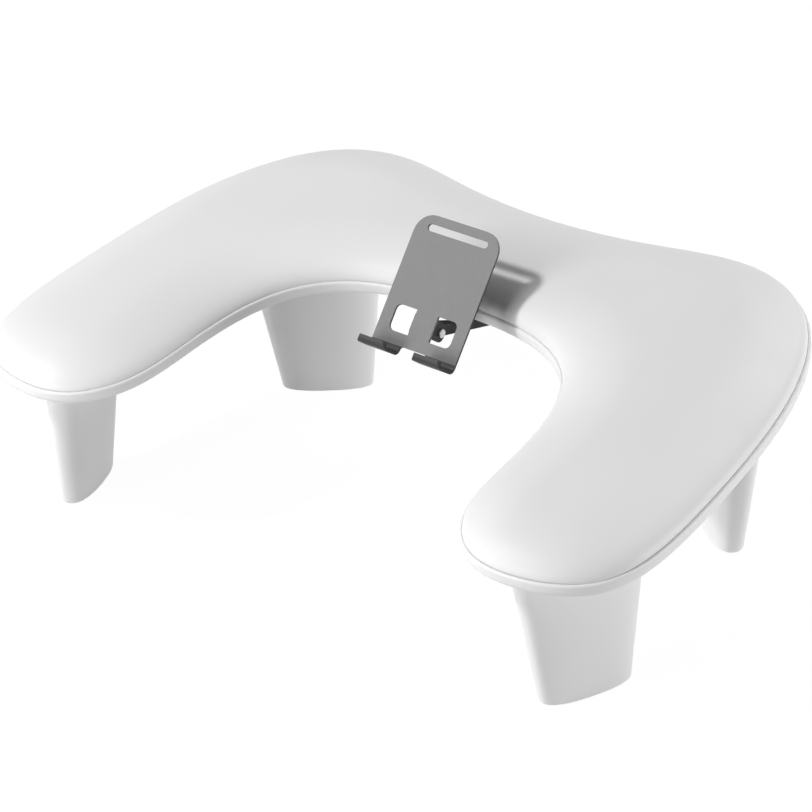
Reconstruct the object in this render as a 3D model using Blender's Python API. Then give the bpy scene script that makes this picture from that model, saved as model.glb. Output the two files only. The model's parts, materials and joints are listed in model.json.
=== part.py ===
"""A U-shaped padded armrest on four moulded legs, with a tilting sheet-metal phone holder.

The user sits at -Y and rests a forearm on each side of the U. The cushion slopes down to
the front. The phone holder hangs on a bracket under the bridge and tilts about a screw.
Metres, +Z up, origin at the middle of the object's footprint.
"""

import math

import bmesh
import bpy
import numpy as np

# Plan outline of the cushion's seam, right half, as control points of a smooth closed curve.
OUTLINE_HALF = (
    (0.0000, 0.1278),  # middle of the back edge, dipped
    (0.0660, 0.1343),
    (0.1290, 0.1524),  # back corner
    (0.1860, 0.1275),
    (0.2190, 0.0560),  # outer side
    (0.2292, -0.0365),
    (0.2314, -0.1070),
    (0.2120, -0.1365),  # rounded end of the arm
    (0.1700, -0.1470),
    (0.1380, -0.1405),
    (0.1157, -0.1095),  # side of the bay
    (0.1164, -0.0585),
    (0.1083, -0.0005),
    (0.0690, 0.0350),
    (0.0000, 0.0410),  # middle of the bridge's front edge
)
SAMPLES_PER_SPAN = 4

# Centre line of the padding, from the middle of the bridge to the end of the right arm.
CENTRE_LINE_HALF = (
    (0.0000, 0.0830),
    (0.0550, 0.0850),
    (0.1080, 0.0870),
    (0.1500, 0.0620),
    (0.1700, 0.0100),
    (0.1730, -0.0450),
    (0.1730, -0.0950),
)

# Slope of the seam plane, and its height over the origin.
SLOPE = math.radians(9.0)
SEAM_HEIGHT = 0.1166

# Base shell: rim, deck and the pocket that takes the cushion.
RIM_HEIGHT = 0.0080
RIM_PROUD = 0.0013
RIM_EDGE_RADIUS = 0.0014
RIM_FOOT_RADIUS = 0.0030
POCKET_INSET = 0.0005
POCKET_DEPTH = 0.0055
SHELL_WALL = 0.0030

# Legs: an oblong foot, and an oblong top where the leg meets the deck, both in plan.
FRONT_FOOT_X = 0.1831
FRONT_FOOT_Y = -0.0891
FRONT_FOOT_LENGTH = 0.0564
FRONT_FOOT_WIDTH = 0.0200
FRONT_TOP_X = 0.1780
FRONT_TOP_Y = -0.0902
FRONT_TOP_LENGTH = 0.0840
FRONT_TOP_WIDTH = 0.0304
FRONT_LEG_TURN = math.radians(69.3)
REAR_FOOT_X = 0.1481
REAR_FOOT_Y = 0.0932
REAR_FOOT_LENGTH = 0.0568
REAR_FOOT_WIDTH = 0.0208
REAR_TOP_X = 0.1537
REAR_TOP_Y = 0.0875
REAR_TOP_LENGTH = 0.0912
REAR_TOP_WIDTH = 0.0396
REAR_LEG_TURN = math.radians(138.7)
# Each oblong is centre, half length, half width and the direction of its length.
FRONT_FOOT = ((FRONT_FOOT_X, FRONT_FOOT_Y), FRONT_FOOT_LENGTH / 2, FRONT_FOOT_WIDTH / 2, FRONT_LEG_TURN)
FRONT_TOP = ((FRONT_TOP_X, FRONT_TOP_Y), FRONT_TOP_LENGTH / 2, FRONT_TOP_WIDTH / 2, FRONT_LEG_TURN)
REAR_FOOT = ((REAR_FOOT_X, REAR_FOOT_Y), REAR_FOOT_LENGTH / 2, REAR_FOOT_WIDTH / 2, REAR_LEG_TURN)
REAR_TOP = ((REAR_TOP_X, REAR_TOP_Y), REAR_TOP_LENGTH / 2, REAR_TOP_WIDTH / 2, REAR_LEG_TURN)
OBLONG_POWER = 2.4
LEG_SIDES = 24
FOOT_HEIGHT = 0.0006
FOOT_ROUNDING = 0.0012
LEG_FLARE = 0.0030
LEG_FLARE_HEIGHT = 0.0060

# Rubber pads let into the feet.
PAD_INSET = 0.0042
PAD_RECESS = 0.0012
PAD_CHAMFER = 0.0004

# Cushion, from the skin inwards.
CUSHION_RISE = 0.0160
CUSHION_SHOULDER = 0.0410
COVER_THICKNESS = 0.0012
COVER_GAP = 0.0004
HEM_WIDTH = 0.0120
BOARD_THICKNESS = 0.0040
# Where the crown's rings lie, as shares of the shoulder's width.
OUTER_CROWN_SHARES = (0.015, 0.060, 0.155, 0.310, 0.520, 0.750, 0.950)
INNER_CROWN_SHARES = (0.050, 0.200, 0.500, 0.930)

# Running gap between pieces that touch on the real object.
SEAT = 0.0003

# Screws that hold the board down, right half, in plan.
BOARD_SCREW_SPOTS = ((0.0750, 0.0900), (0.1900, 0.0150), (0.1430, -0.1000))
SCREW_RADIUS = 0.00175
BOARD_SCREW_HEAD_RADIUS = 0.0035
SCREW_HEAD_HEIGHT = 0.0022
SCREW_SIDES = 14

# Tilt pivot of the phone holder, which hangs from the deck.
PIVOT_Y = 0.0109
PIVOT_OVER_SEAM = 0.0013
PIVOT_Z = SEAM_HEIGHT + PIVOT_OVER_SEAM
PIVOT_RADIUS = 0.0015
PIVOT_HEAD_RADIUS = 0.0026
PIVOT_HEAD_HEIGHT = 0.0015
NUT_ACROSS_FLATS = 0.0055
NUT_HEIGHT = 0.0024
PIVOT_END = 0.0006
WASHER_RADIUS = 0.0035
WASHER_THICKNESS = 0.0008

# Bracket: two cheeks that hang from a web under the bridge.
BRACKET_SHEET = 0.0015
BRACKET_HUB_RADIUS = 0.0035
BRACKET_FALL = math.radians(14.0)
BRACKET_REAR_Y = 0.0760
BRACKET_NECK_Y = 0.0350
BRACKET_NECK_DEPTH = 0.0012
BRACKET_REAR_RADIUS = 0.0060
WEB_FRONT_Y = 0.0440
BRACKET_SCREW_YS = (0.0555, 0.0685)
BRACKET_SCREW_HEAD_RADIUS = 0.0028

# Holder plate, a folded sheet, in its own upright frame with the pivot at the origin.
PLATE_LEAN = math.radians(36.5)
PLATE_SHEET = 0.0015
PLATE_WIDTH = 0.0600
PLATE_TOP = 0.0623
PLATE_CORNER_RADIUS = 0.0120
PLATE_EDGE_BELOW_PIVOT = 0.0152
FACE_TO_PIVOT = 0.0075
LIP_DROP = 0.0058
LIP_DEPTH = 0.0150
LIP_BEND_RADIUS = 0.0040
LIP_CURL = math.radians(98.0)
LIP_CORNER_RADIUS = 0.0030
CABLE_GAP = 0.0190
CABLE_GAP_RADIUS = 0.0020
SLOT_LENGTH = 0.0430
SLOT_HEIGHT = 0.0043
SLOT_ABOVE_PIVOT = 0.0548
WINDOW_INNER_X = 0.0076
WINDOW_OUTER_X = 0.0220
WINDOW_HEIGHT = 0.0158
WINDOW_CORNER_RADIUS = 0.0035
EAR_OUTER_X = 0.0081
EAR_HEIGHT = 0.0112
EAR_DEPTH = 0.0120
EAR_CORNER_RADIUS = 0.0040

# How far a cutter runs past the faces that it cuts.
OVERCUT = 0.0010
ARC_STEPS = 6


def clear_scene():
    for item in list(bpy.data.objects):
        bpy.data.objects.remove(item, do_unlink=True)


def material(name, colour, roughness, metallic=0.0):
    made = bpy.data.materials.new(name)
    made.use_nodes = True
    shader = made.node_tree.nodes["Principled BSDF"]
    shader.inputs["Base Color"].default_value = (*colour, 1.0)
    shader.inputs["Roughness"].default_value = roughness
    shader.inputs["Metallic"].default_value = metallic
    return made


def add_object(name, mesh, surface):
    made = bpy.data.objects.new(name, mesh)
    made.data.materials.append(surface)
    bpy.context.collection.objects.link(made)
    return made


def add_loop(build, ring):
    return [build.verts.new(tuple(map(float, point))) for point in ring]


def bridge(build, loops):
    """Bands of faces between neighbouring loops of equal length."""
    for low, high in zip(loops, loops[1:]):
        for i in range(len(low)):
            j = (i + 1) % len(low)
            build.faces.new((low[i], low[j], high[j], high[i]))


def add_rings(build, rings):
    """Join rings of equal length into one closed body, with a flat cap at each end."""
    loops = [add_loop(build, ring) for ring in rings]
    bridge(build, loops)
    build.faces.new(list(reversed(loops[0])))
    build.faces.new(loops[-1])


def finish_mesh(name, build, surface, smooth_angle=35.0):
    bmesh.ops.recalc_face_normals(build, faces=build.faces)
    mesh = bpy.data.meshes.new(name)
    build.to_mesh(mesh)
    build.free()
    mesh.shade_smooth()
    mesh.set_sharp_from_angle(angle=math.radians(smooth_angle))
    return add_object(name, mesh, surface)


def solid(name, bodies, surface):
    """One object from a list of bodies, each a list of rings."""
    build = bmesh.new()
    for rings in bodies:
        add_rings(build, rings)
    return finish_mesh(name, build, surface)


def combine(target, other, operation):
    """Add or cut with a guide object, which stays out of the model."""
    other.hide_render = True
    other.display_type = "WIRE"
    step = target.modifiers.new(other.name, "BOOLEAN")
    step.operation = operation
    step.solver = "EXACT"
    step.object = other


def cubic(points, fractions):
    """Points of a uniform cubic B-spline span, for four controls."""
    t = np.asarray(fractions)[:, None]
    a, b, c, d = points
    return (
        (1 - t) ** 3 * a
        + (3 * t**3 - 6 * t**2 + 4) * b
        + (-3 * t**3 + 3 * t**2 + 3 * t + 1) * c
        + t**3 * d
    ) / 6


def closed_curve(controls, steps):
    count = len(controls)
    fractions = np.arange(steps) / steps
    spans = [cubic([controls[(i + k) % count] for k in range(4)], fractions) for i in range(count)]
    return np.vstack(spans)


def open_curve(controls, steps):
    first = 2 * controls[0] - controls[1]
    last = 2 * controls[-1] - controls[-2]
    full = np.vstack([first, controls, last])
    fractions = np.linspace(0.0, 1.0, steps + 1)
    spans = [cubic(full[i:i + 4], fractions) for i in range(len(full) - 3)]
    return np.vstack(spans)


def seam_outline():
    right = np.array(OUTLINE_HALF)
    left = right[-2:0:-1] * (-1, 1)
    curve = closed_curve(np.vstack([right, left]), SAMPLES_PER_SPAN)
    return curve[::-1]


def offset(curve, distance):
    """Move a counterclockwise curve outwards, or inwards with a negative distance."""
    along = np.roll(curve, -1, axis=0) - np.roll(curve, 1, axis=0)
    outward = np.column_stack([along[:, 1], -along[:, 0]])
    outward /= np.linalg.norm(outward, axis=1)[:, None]
    return curve + outward * distance


def padding_centres(curve):
    """For each outline point, the nearest point of the padding's centre line."""
    right = open_curve(np.array(CENTRE_LINE_HALF), 12)
    left = right[::-1] * (-1, 1)
    line = np.vstack([left, right])
    gaps = np.linalg.norm(curve[:, None] - line[None], axis=2)
    centres = line[gaps.argmin(axis=1)]
    for _ in range(2):
        centres = (np.roll(centres, 1, axis=0) + 2 * centres + np.roll(centres, -1, axis=0)) / 4
    return centres


def distance_to(curve, points):
    """Distance of each point from a closed curve of straight steps."""
    start = curve
    step = np.roll(curve, -1, axis=0) - start
    reach = points[:, None] - start[None]
    share = (reach * step).sum(axis=2) / (step**2).sum(axis=1)
    nearest = start[None] + np.clip(share, 0.0, 1.0)[..., None] * step[None]
    return np.linalg.norm(points[:, None] - nearest, axis=2).min(axis=1)


def inset(curve, centres, depth):
    """Move an outline towards the centre line, without folding over itself."""
    way = centres - curve
    length = np.linalg.norm(way, axis=1)[:, None]
    return curve + way / length * np.minimum(depth, 0.93 * length)


def on_deck(plan, height):
    """Points over the sloping seam plane, at heights square to it."""
    height = np.broadcast_to(height, len(plan))
    rise = SEAM_HEIGHT + math.tan(SLOPE) * plan[:, 1]
    return np.column_stack([
        plan[:, 0],
        plan[:, 1] - math.sin(SLOPE) * height,
        rise + math.cos(SLOPE) * height,
    ])


def deck_z(y, height):
    """World height of the plane that lies `height` over the seam plane."""
    return SEAM_HEIGHT + math.tan(SLOPE) * y + height / math.cos(SLOPE)


def oblong(shape, grow=0.0):
    """Plan of a foot or a leg's top, grown outwards by a distance."""
    (x, y), half_length, half_width, turn = shape
    angles = np.linspace(0.0, 2 * math.pi, LEG_SIDES, endpoint=False)
    power = 2.0 / OBLONG_POWER
    along = (half_length + grow) * np.sign(np.cos(angles)) * np.abs(np.cos(angles)) ** power
    across = (half_width + grow) * np.sign(np.sin(angles)) * np.abs(np.sin(angles)) ** power
    return np.column_stack([
        x + math.cos(turn) * along - math.sin(turn) * across,
        y + math.sin(turn) * along + math.cos(turn) * across,
    ])


def leg_ring(foot, top, z, grow, side):
    """Section of a leg, at a height given over the floor as if the deck were level."""
    low, high = oblong(foot, grow), oblong(top, grow)
    deck = deck_z(high[:, 1], -RIM_HEIGHT)
    share = (z - FOOT_HEIGHT) / (deck - FOOT_HEIGHT)
    plan = low + (high - low) * share[:, None]
    return np.column_stack([side * plan[:, 0], plan[:, 1], np.full(len(plan), z)])


def leg_ring_at_deck(foot, top, below, grow, side):
    """Section of a leg parallel to the deck, at a distance below its underside."""
    low, high = oblong(foot, grow), oblong(top, grow)
    level = deck_z(high[:, 1], -RIM_HEIGHT)
    share = 1.0 - below / (level - FOOT_HEIGHT)
    plan = low + (high - low) * share[:, None]
    z = FOOT_HEIGHT + (level - FOOT_HEIGHT) * share
    return np.column_stack([side * plan[:, 0], plan[:, 1], z])


def quarter_turn(radius, steps=3):
    """Inset and rise along a rounded bottom edge, from the flat to the wall."""
    angles = np.linspace(0.0, math.pi / 2, steps + 1)
    return [(radius * (1 - math.sin(a)), radius * (1 - math.cos(a))) for a in angles]


def leg_form(foot, top, side):
    rings = []
    for inward, rise in quarter_turn(FOOT_ROUNDING):
        rings.append(leg_ring(foot, top, FOOT_HEIGHT + rise, -inward, side))
    for below, share in ((LEG_FLARE_HEIGHT, 0.0), (LEG_FLARE_HEIGHT * 0.35, 0.3), (0.0, 1.0)):
        rings.append(leg_ring_at_deck(foot, top, below, LEG_FLARE * share, side))
    rings.append(leg_ring_at_deck(foot, top, -SHELL_WALL / 3, LEG_FLARE, side))
    return rings


def leg_core(foot, top, side):
    floor = FOOT_HEIGHT + PAD_RECESS + SHELL_WALL
    return [
        leg_ring(foot, top, floor, -SHELL_WALL - FOOT_ROUNDING / 2, side),
        leg_ring(foot, top, floor + FOOT_ROUNDING / 2, -SHELL_WALL, side),
        leg_ring_at_deck(foot, top, -RIM_HEIGHT + POCKET_DEPTH - OVERCUT, -SHELL_WALL, side),
    ]


def each_leg():
    for end, foot, top in (("front", FRONT_FOOT, FRONT_TOP), ("rear", REAR_FOOT, REAR_TOP)):
        for hand, side in (("left", -1), ("right", 1)):
            yield f"{end}_{hand}", foot, top, side


def pad_prism(foot, side, grow, low, high):
    plan = oblong(foot, grow) * (side, 1)
    return [np.column_stack([plan, np.full(len(plan), z)]) for z in (low, high)]


def foot_pad(name, foot, side, surface):
    top = FOOT_HEIGHT + PAD_RECESS - SEAT
    levels = ((0.0, -PAD_CHAMFER), (PAD_CHAMFER, 0.0), (top, 0.0))
    rings = []
    for z, grow in levels:
        plan = oblong(foot, grow - PAD_INSET) * (side, 1)
        rings.append(np.column_stack([plan, np.full(len(plan), z)]))
    return solid(name, [rings], surface)


def deck_screw_rings(x, y, sections, sides=SCREW_SIDES):
    """Rings of a round piece that stands square to the deck, as (radius, height) pairs."""
    angles = np.linspace(0.0, 2 * math.pi, sides, endpoint=False)
    rings = []
    for radius, height in sections:
        plan = np.column_stack([
            x + radius * np.cos(angles),
            y + radius * np.sin(angles) * math.cos(SLOPE),
        ])
        rings.append(on_deck(plan, height))
    return rings


def screw_sections(seat, tip, head_radius):
    """Pan head under `seat`, shank up to `tip`."""
    return (
        (head_radius * 0.72, seat - SCREW_HEAD_HEIGHT),
        (head_radius, seat - SCREW_HEAD_HEIGHT * 0.45),
        (head_radius, seat),
        (SCREW_RADIUS, seat),
        (SCREW_RADIUS, tip - SCREW_RADIUS),
        (SCREW_RADIUS * 0.3, tip),
    )


def board_levels():
    low = -POCKET_DEPTH + 2 * SEAT + COVER_THICKNESS
    return low, low + BOARD_THICKNESS


def base_shell(curve, surface):
    rounded_foot = [
        (RIM_PROUD - inward, rise - RIM_HEIGHT) for inward, rise in quarter_turn(RIM_FOOT_RADIUS)
    ]
    edge_radius = min(RIM_EDGE_RADIUS, RIM_PROUD + POCKET_INSET - SEAT)
    rounded_top = [
        (RIM_PROUD - edge_radius * (1 - math.cos(a)), -edge_radius * (1 - math.sin(a)))
        for a in (0.0, math.pi / 4, math.pi / 2)
    ]
    land = [(-POCKET_INSET + SEAT, 0.0), (-POCKET_INSET, -SEAT), (-POCKET_INSET, -POCKET_DEPTH)]
    rings = [on_deck(offset(curve, out), height) for out, height in rounded_foot + rounded_top + land]
    shell = solid("base_shell", [rings], surface)

    legs = [leg_form(foot, top, side) for _, foot, top, side in each_leg()]
    cores = [leg_core(foot, top, side) for _, foot, top, side in each_leg()]
    recess_top = FOOT_HEIGHT + PAD_RECESS
    recesses = [
        pad_prism(foot, side, SEAT - PAD_INSET, FOOT_HEIGHT - OVERCUT, recess_top)
        for _, foot, _, side in each_leg()
    ]
    holes = [
        deck_screw_rings(x, y, ((SCREW_RADIUS + SEAT, -RIM_HEIGHT - OVERCUT),
                                (SCREW_RADIUS + SEAT, -POCKET_DEPTH + OVERCUT)))
        for x, y in screw_spots()
    ]
    combine(shell, solid("shell_legs", legs, surface), "UNION")
    combine(shell, solid("shell_cores", cores, surface), "DIFFERENCE")
    combine(shell, solid("shell_recesses", recesses, surface), "DIFFERENCE")
    combine(shell, solid("shell_holes", holes, surface), "DIFFERENCE")
    return shell


def screw_spots():
    spots = [(side * x, y) for x, y in BOARD_SCREW_SPOTS for side in (-1, 1)]
    return spots + [(0.0, y) for y in BRACKET_SCREW_YS]


def dome(depth, rise, shoulder):
    """Height of the crown at a distance in from its edge."""
    share = np.clip(depth / shoulder, 0.0, 1.0)
    return rise * np.sqrt(1.0 - (1.0 - share) ** 2)


def crown_rings(curve, centres, inward, shares):
    """Rings of the crowned pad, for a surface that lies `inward` of the outer skin."""
    edge = POCKET_INSET + COVER_GAP + inward
    shoulder = CUSHION_SHOULDER - inward
    rings = []
    for share in shares:
        plan = inset(curve, centres, edge + share * shoulder)
        reach = distance_to(curve, plan) - edge
        rings.append(on_deck(plan, dome(reach, CUSHION_RISE - inward, shoulder)))
    return rings


def cushion_cover(curve, centres, surface):
    outer_edge = POCKET_INSET + COVER_GAP
    inner_edge = outer_edge + COVER_THICKNESS
    hem_low = -POCKET_DEPTH + SEAT
    hem_high = hem_low + COVER_THICKNESS
    corner = COVER_THICKNESS * 0.8

    def flat(depth, height):
        return on_deck(inset(curve, centres, depth), height)

    outside = [
        flat(HEM_WIDTH, hem_low),
        flat(outer_edge + corner, hem_low),
        flat(outer_edge, hem_low + corner),
        flat(outer_edge, 0.0),
    ]
    outside += crown_rings(curve, centres, 0.0, OUTER_CROWN_SHARES)
    inside = crown_rings(curve, centres, COVER_THICKNESS, INNER_CROWN_SHARES)[::-1]
    inside += [
        flat(inner_edge, board_levels()[1] + SEAT),
        flat(inner_edge, hem_high),
        flat(HEM_WIDTH, hem_high),
    ]
    build = bmesh.new()
    loops = [add_loop(build, ring) for ring in outside]
    inner_loops = [add_loop(build, ring) for ring in inside]
    bridge(build, loops)
    bridge(build, inner_loops + [loops[0]])
    build.faces.new(loops[-1])
    build.faces.new(inner_loops[0])
    return finish_mesh("cushion_cover", build, surface, 60.0)


def cushion_foam(curve, centres, surface):
    inward = COVER_THICKNESS + SEAT
    edge = inset(curve, centres, POCKET_INSET + COVER_GAP + inward)
    rings = [on_deck(edge, board_levels()[1] + SEAT)]
    rings += crown_rings(curve, centres, inward, INNER_CROWN_SHARES)
    return solid("cushion_foam", [rings], surface)


def cushion_board(curve, centres, surface):
    edge = POCKET_INSET + COVER_GAP + COVER_THICKNESS + SEAT
    plan = inset(curve, centres, edge)
    board = solid("cushion_board", [[on_deck(plan, height) for height in board_levels()]], surface)
    low, high = board_levels()
    holes = [
        deck_screw_rings(x, y, ((SCREW_RADIUS + SEAT, low - OVERCUT),
                                (SCREW_RADIUS + SEAT, high + OVERCUT)))
        for x, y in screw_spots()
    ]
    combine(board, solid("board_holes", holes, surface), "DIFFERENCE")
    return board


def board_screws(surface):
    tip = board_levels()[1] - SEAT
    for number, (x, y) in enumerate(screw_spots()[:2 * len(BOARD_SCREW_SPOTS)], start=1):
        sections = screw_sections(-RIM_HEIGHT - SEAT, tip, BOARD_SCREW_HEAD_RADIUS)
        solid(f"board_screw_{number}", [deck_screw_rings(x, y, sections)], surface)


def arc(centre, radius, start, stop, steps=ARC_STEPS):
    """Points along an arc, angles in radians."""
    angles = np.linspace(start, stop, steps + 1)
    return [(centre[0] + radius * math.cos(a), centre[1] + radius * math.sin(a)) for a in angles]


def along_x(profile, low, high):
    """Two rings of a (y, z) profile, drawn out along X."""
    return [[(x, y, z) for y, z in profile] for x in (low, high)]


def along_y(profile, low, high):
    """Two rings of an (x, z) profile, drawn out along Y."""
    return [[(x, y, z) for x, z in profile] for y in (low, high)]


def along_z(profile, low, high):
    """Two rings of an (x, y) profile, drawn out along Z."""
    return [[(x, y, z) for x, y in profile] for z in (low, high)]


def turned_about_x(sections, sides, y=0.0, z=0.0):
    """Rings of a round piece on an X axis, as (radius, x) pairs."""
    circle = arc((0.0, 0.0), 1.0, 0.0, 2 * math.pi, sides)[:-1]
    return [[(x, y + radius * u, z + radius * v) for u, v in circle] for radius, x in sections]


def washer_inner_x():
    return EAR_OUTER_X - PLATE_SHEET - SEAT - WASHER_THICKNESS


def cheek_outer_x():
    return washer_inner_x() - SEAT


def cheek_profile():
    """Side view of a cheek: hub at the pivot, neck under the rim, deep end on the deck."""
    hub = (PIVOT_Y, PIVOT_Z)
    down = math.pi + math.pi / 2 - BRACKET_FALL
    lower = arc(hub, BRACKET_HUB_RADIUS, math.pi / 2 - BRACKET_FALL, down, 2 * ARC_STEPS)
    start_y, start_z = lower[-1]
    rear_z = start_z - (BRACKET_REAR_Y - start_y) * math.tan(BRACKET_FALL)
    underside = -RIM_HEIGHT - SEAT
    corner = (BRACKET_REAR_Y - BRACKET_REAR_RADIUS, rear_z + BRACKET_REAR_RADIUS * 1.25)
    rear = arc(corner, BRACKET_REAR_RADIUS, -math.pi / 2 - BRACKET_FALL, 0.0)
    top = [
        (BRACKET_REAR_Y, deck_z(BRACKET_REAR_Y, underside)),
        (WEB_FRONT_Y, deck_z(WEB_FRONT_Y, underside)),
        (BRACKET_NECK_Y, deck_z(BRACKET_NECK_Y, underside) - BRACKET_NECK_DEPTH),
    ]
    return lower + rear + top


def holder_bracket(surface):
    outer = cheek_outer_x()
    inner = outer - BRACKET_SHEET
    underside = -RIM_HEIGHT - SEAT
    cheeks = [along_x(cheek_profile(), low, high) for low, high in ((-outer, -inner), (inner, outer))]
    web_corners = (
        (WEB_FRONT_Y, underside),
        (BRACKET_REAR_Y, underside),
        (BRACKET_REAR_Y, underside - BRACKET_SHEET),
        (WEB_FRONT_Y, underside - BRACKET_SHEET),
    )
    web_profile = [(y, deck_z(y, height)) for y, height in web_corners]
    bracket = solid("holder_bracket", [cheeks[1]], surface)
    combine(bracket, solid("bracket_left_cheek", [cheeks[0]], surface), "UNION")
    web = along_x(web_profile, -outer + BRACKET_SHEET / 2, outer - BRACKET_SHEET / 2)
    combine(bracket, solid("bracket_web", [web], surface), "UNION")
    reach = outer + OVERCUT
    hole = PIVOT_RADIUS + SEAT
    cutters = [turned_about_x(((hole, -reach), (hole, reach)), SCREW_SIDES, PIVOT_Y, PIVOT_Z)]
    for y in BRACKET_SCREW_YS:
        ends = ((SCREW_RADIUS + SEAT, underside - BRACKET_SHEET - OVERCUT),
                (SCREW_RADIUS + SEAT, underside + OVERCUT))
        cutters.append(deck_screw_rings(0.0, y, ends))
    combine(bracket, solid("bracket_holes", cutters, surface), "DIFFERENCE")
    return bracket


def bracket_screws(surface):
    seat = -RIM_HEIGHT - 2 * SEAT - BRACKET_SHEET
    sections = screw_sections(seat, board_levels()[1] - SEAT, BRACKET_SCREW_HEAD_RADIUS)
    for name, y in zip(("front", "rear"), BRACKET_SCREW_YS):
        solid(f"bracket_screw_{name}", [deck_screw_rings(0.0, y, sections)], surface)


def sheet_profile():
    """Side view of the folded plate: straight back, curled lip."""
    front = -FACE_TO_PIVOT
    back = front + PLATE_SHEET
    inner_radius = LIP_BEND_RADIUS - PLATE_SHEET
    level = -PLATE_EDGE_BELOW_PIVOT - LIP_DROP + LIP_BEND_RADIUS
    fold = (back - LIP_BEND_RADIUS, level)
    curl = (front - LIP_DEPTH + LIP_BEND_RADIUS, level)
    low = -math.pi / 2
    tip = low - LIP_CURL
    outside = [(back, PLATE_TOP)] + arc(fold, LIP_BEND_RADIUS, 0.0, low)
    outside += arc(curl, LIP_BEND_RADIUS, low, tip)
    inside = arc(curl, inner_radius, tip, low) + arc(fold, inner_radius, low, 0.0)
    return outside + inside + [(front, PLATE_TOP)]


def rounded_box(low_x, high_x, low_z, high_z, radii):
    """Corner radii run from the low corner at low_x, counterclockwise; 0 is a sharp corner."""
    corners = ((low_x, low_z), (high_x, low_z), (high_x, high_z), (low_x, high_z))
    inward = ((1, 1), (-1, 1), (-1, -1), (1, -1))
    points = []
    for k, (corner, way, radius) in enumerate(zip(corners, inward, radii)):
        if radius == 0:
            points.append(corner)
            continue
        centre = (corner[0] + way[0] * radius, corner[1] + way[1] * radius)
        start = math.pi + k * math.pi / 2
        points += arc(centre, radius, start, start + math.pi / 2)
    return points


def corner_spandrel(x, level, radius, side, up):
    """What a rounded corner leaves of its square, with its outer sides moved clear."""
    centre = (x - side * radius, level - up * radius)
    bow = [(centre[0] + side * radius * math.cos(a), centre[1] + up * radius * math.sin(a))
           for a in np.linspace(0.0, math.pi / 2, ARC_STEPS + 1)]
    over_x, over_level = x + side * OVERCUT, level + up * OVERCUT
    return bow + [(bow[-1][0], over_level), (over_x, over_level), (over_x, bow[0][1])]


def holder_plate(axis, surface):
    half = PLATE_WIDTH / 2
    face = -FACE_TO_PIVOT
    lip_front = face - LIP_DEPTH
    edge = -PLATE_EDGE_BELOW_PIVOT
    floor = edge - LIP_DROP
    plate = solid("holder_plate", [along_x(sheet_profile(), -half, half)], surface)

    ear_profile = [(face + SEAT, -EAR_HEIGHT / 2)]
    ear_profile += arc((face + EAR_DEPTH - EAR_CORNER_RADIUS, -EAR_HEIGHT / 2 + EAR_CORNER_RADIUS),
                       EAR_CORNER_RADIUS, -math.pi / 2, 0.0)
    ear_profile += arc((face + EAR_DEPTH - EAR_CORNER_RADIUS, EAR_HEIGHT / 2 - EAR_CORNER_RADIUS),
                       EAR_CORNER_RADIUS, 0.0, math.pi / 2)
    ear_profile += [(face + SEAT, EAR_HEIGHT / 2)]
    ear_inner_x = EAR_OUTER_X - PLATE_SHEET
    ears = [along_x(ear_profile, low, high)
            for low, high in ((-EAR_OUTER_X, -ear_inner_x), (ear_inner_x, EAR_OUTER_X))]

    half_window = WINDOW_HEIGHT / 2
    cuts = []
    for side in (-1, 1):
        low_x, high_x = sorted((side * WINDOW_INNER_X, side * WINDOW_OUTER_X))
        round_low = WINDOW_CORNER_RADIUS if side < 0 else 0
        round_high = WINDOW_CORNER_RADIUS if side > 0 else 0
        window = rounded_box(low_x, high_x, -half_window, half_window,
                             (round_low, round_high, round_high, round_low))
        cuts.append(along_y(window, face - OVERCUT, face + PLATE_SHEET + OVERCUT))
    half_slot = SLOT_HEIGHT / 2
    slot = rounded_box(-SLOT_LENGTH / 2, SLOT_LENGTH / 2, SLOT_ABOVE_PIVOT - half_slot,
                       SLOT_ABOVE_PIVOT + half_slot, (half_slot * 0.999,) * 4)
    cuts.append(along_y(slot, face - OVERCUT, face + PLATE_SHEET + OVERCUT))
    gap = rounded_box(-CABLE_GAP / 2, CABLE_GAP / 2, floor - OVERCUT, edge,
                      (0, 0, CABLE_GAP_RADIUS, CABLE_GAP_RADIUS))
    cuts.append(along_y(gap, lip_front - OVERCUT, face + PLATE_SHEET + OVERCUT))
    tips = []
    for side in (-1, 1):
        top = corner_spandrel(side * half, PLATE_TOP, PLATE_CORNER_RADIUS, side, 1)
        cuts.append(along_y(top, face - OVERCUT, face + PLATE_SHEET + OVERCUT))
        for x, way in ((side * half, side), (side * CABLE_GAP / 2, -side)):
            tip = corner_spandrel(x, lip_front, LIP_CORNER_RADIUS, way, -1)
            tips.append(along_z(tip, floor - OVERCUT, edge))

    combine(plate, solid("plate_cuts", cuts, surface), "DIFFERENCE")
    combine(plate, solid("plate_lip_tips", tips, surface), "DIFFERENCE")
    combine(plate, solid("plate_ears", ears, surface), "UNION")
    hole = PIVOT_RADIUS + SEAT
    reach = EAR_OUTER_X + OVERCUT
    hole_rings = turned_about_x(((hole, -reach), (hole, reach)), SCREW_SIDES)
    combine(plate, solid("plate_pivot_hole", [hole_rings], surface), "DIFFERENCE")
    for name in ("holder_plate", "plate_cuts", "plate_lip_tips", "plate_ears", "plate_pivot_hole"):
        bpy.data.objects[name].parent = axis
    return plate


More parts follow.
